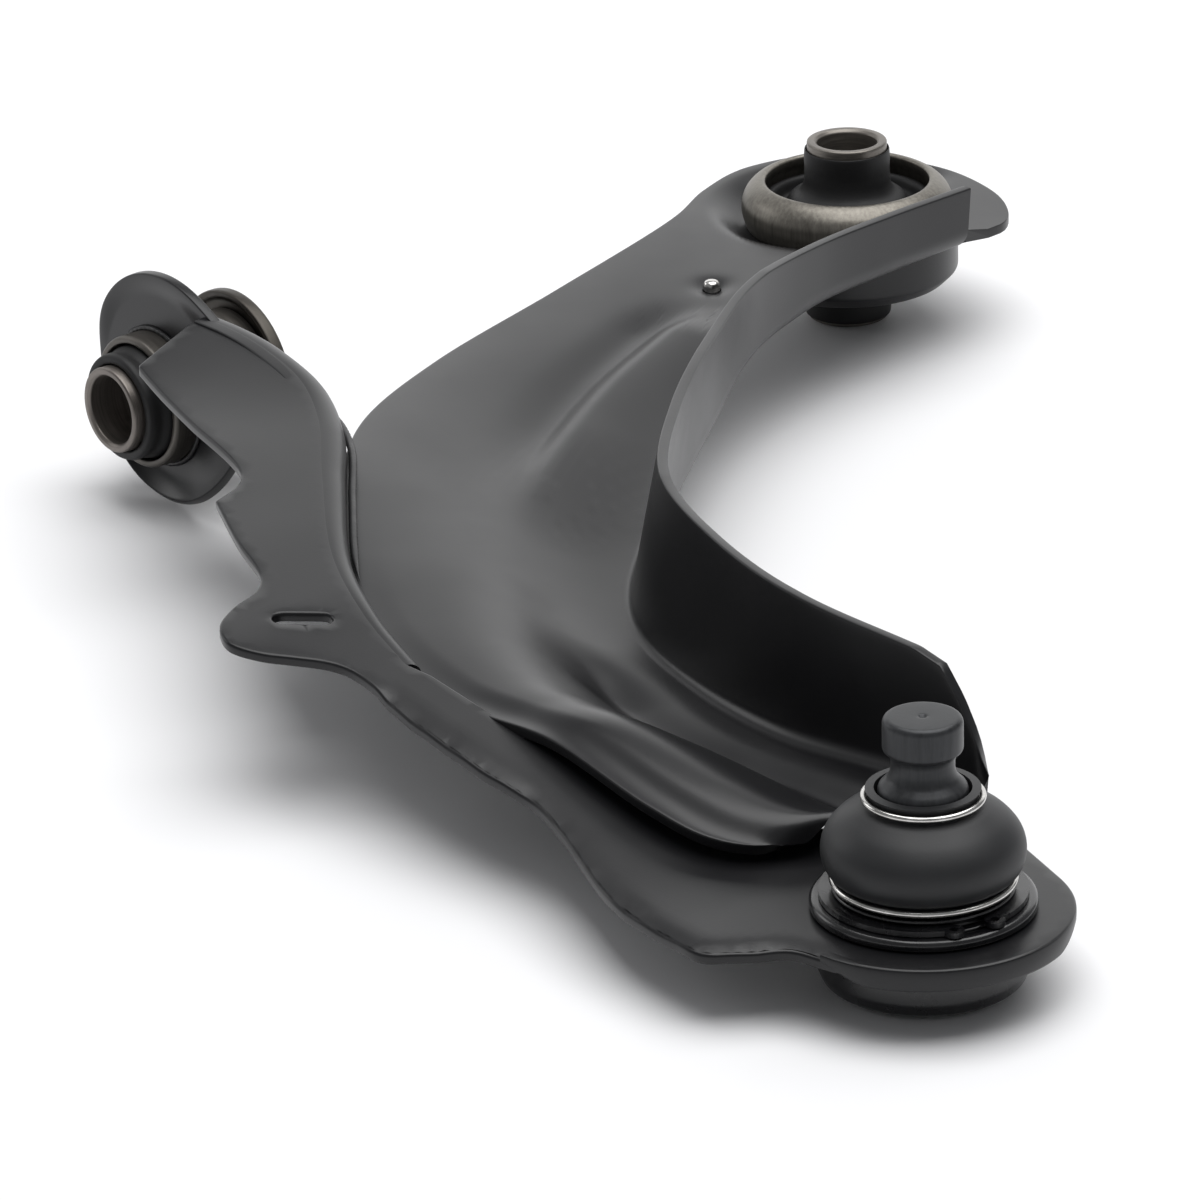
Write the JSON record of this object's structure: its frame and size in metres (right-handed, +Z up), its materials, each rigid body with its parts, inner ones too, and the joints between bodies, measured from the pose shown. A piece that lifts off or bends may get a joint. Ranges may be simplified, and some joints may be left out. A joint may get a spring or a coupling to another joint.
{
  "type": "suspension control arm",
  "caption": "Pressed-steel L-shaped lower control arm with an upright rear bush, a lying front bush and a ball joint stud at the nose.",
  "frame": {"origin": "centre of the underside of the bounding box, where the arm rests on its rear sleeve, front yoke and ball joint housing", "axes": "+X outboard towards the ball joint, +Y rearward towards the upright rear bush and parallel to the front bush axis, +Z up along the ball stud"},
  "size_m": [0.4552, 0.4026, 0.0713],
  "materials": {
    "black_coat": "satin black electrophoretic coat with a soft grey sheen",
    "bare_steel": "uncoated pressed steel, grey-brown, fine turning marks",
    "sleeve_steel": "sawn and turned bare steel tube, slightly stained",
    "rubber": "moulded natural rubber, matte black",
    "boot_rubber": "smooth moulded rubber, dusty charcoal",
    "bright_wire": "bright plated spring wire",
    "dark_steel": "black phosphated steel, slightly glossy",
    "stud_steel": "turned steel, dark oiled finish",
    "seat_polymer": "natural acetal"
  },
  "bodies": {
    "arm": {"main_shell": "black_coat", "front_plate": "black_coat", "rear_bush_outer_shell": "bare_steel", "rear_bush_collar": "black_coat", "rear_bush_rubber": "rubber", "front_bush_outer_tube": "black_coat", "front_bush_stop_washer": "bare_steel", "front_bush_rubber": "rubber", "ball_joint_collar": "dark_steel", "ball_joint_housing": "dark_steel", "ball_joint_end_cap": "dark_steel", "circlip": "dark_steel", "dust_boot": "boot_rubber", "boot_lower_ring": "bright_wire", "weld_front_tube_front": "black_coat", "weld_front_tube_back": "black_coat", "weld_rear_collar": "black_coat", "weld_shoulder_seam": "black_coat", "locating_pip": "bright_wire"},
    "front_sleeve": {"front_bush_inner_sleeve": "sleeve_steel"},
    "rear_sleeve": {"rear_bush_inner_sleeve": "sleeve_steel"},
    "ball_swivel": {"ball_seat": "seat_polymer"},
    "stud_tilt": {"boot_upper_ring": "bright_wire"},
    "stud": {"ball_stud": "stud_steel"}
  },
  "joints": [
    {"name": "front_sleeve_twist", "type": "hinge", "parent": "arm", "child": "front_sleeve", "pos_m": [-0.19929, -0.0758, 0.03112], "axis": [0, 1, 0], "range_deg": [-20, 20], "stiffness_Nm_per_rad": 3},
    {"name": "rear_sleeve_rock", "type": "hinge", "parent": "arm", "child": "rear_sleeve", "pos_m": [-0.17659, 0.1577, 0.02852], "axis": [0, 1, 0], "range_deg": [-8, 8], "stiffness_Nm_per_rad": 8, "deforming": ["rear_bush_rubber"]},
    {"name": "stud_azimuth", "type": "hinge", "parent": "arm", "child": "ball_swivel", "pos_m": [0.19001, -0.1407, 0.01612], "axis": [0, 0, 1], "continuous": true},
    {"name": "stud_tilt_angle", "type": "hinge", "parent": "ball_swivel", "child": "stud_tilt", "pos_m": [0.19001, -0.1407, 0.01612], "axis": [0, 1, 0], "range_deg": [-22, 22], "deforming": ["dust_boot"]},
    {"name": "stud_spin", "type": "hinge", "parent": "stud_tilt", "child": "stud", "pos_m": [0.19001, -0.1407, 0.01612], "axis": [0, 0, 1], "continuous": true}
  ]
}
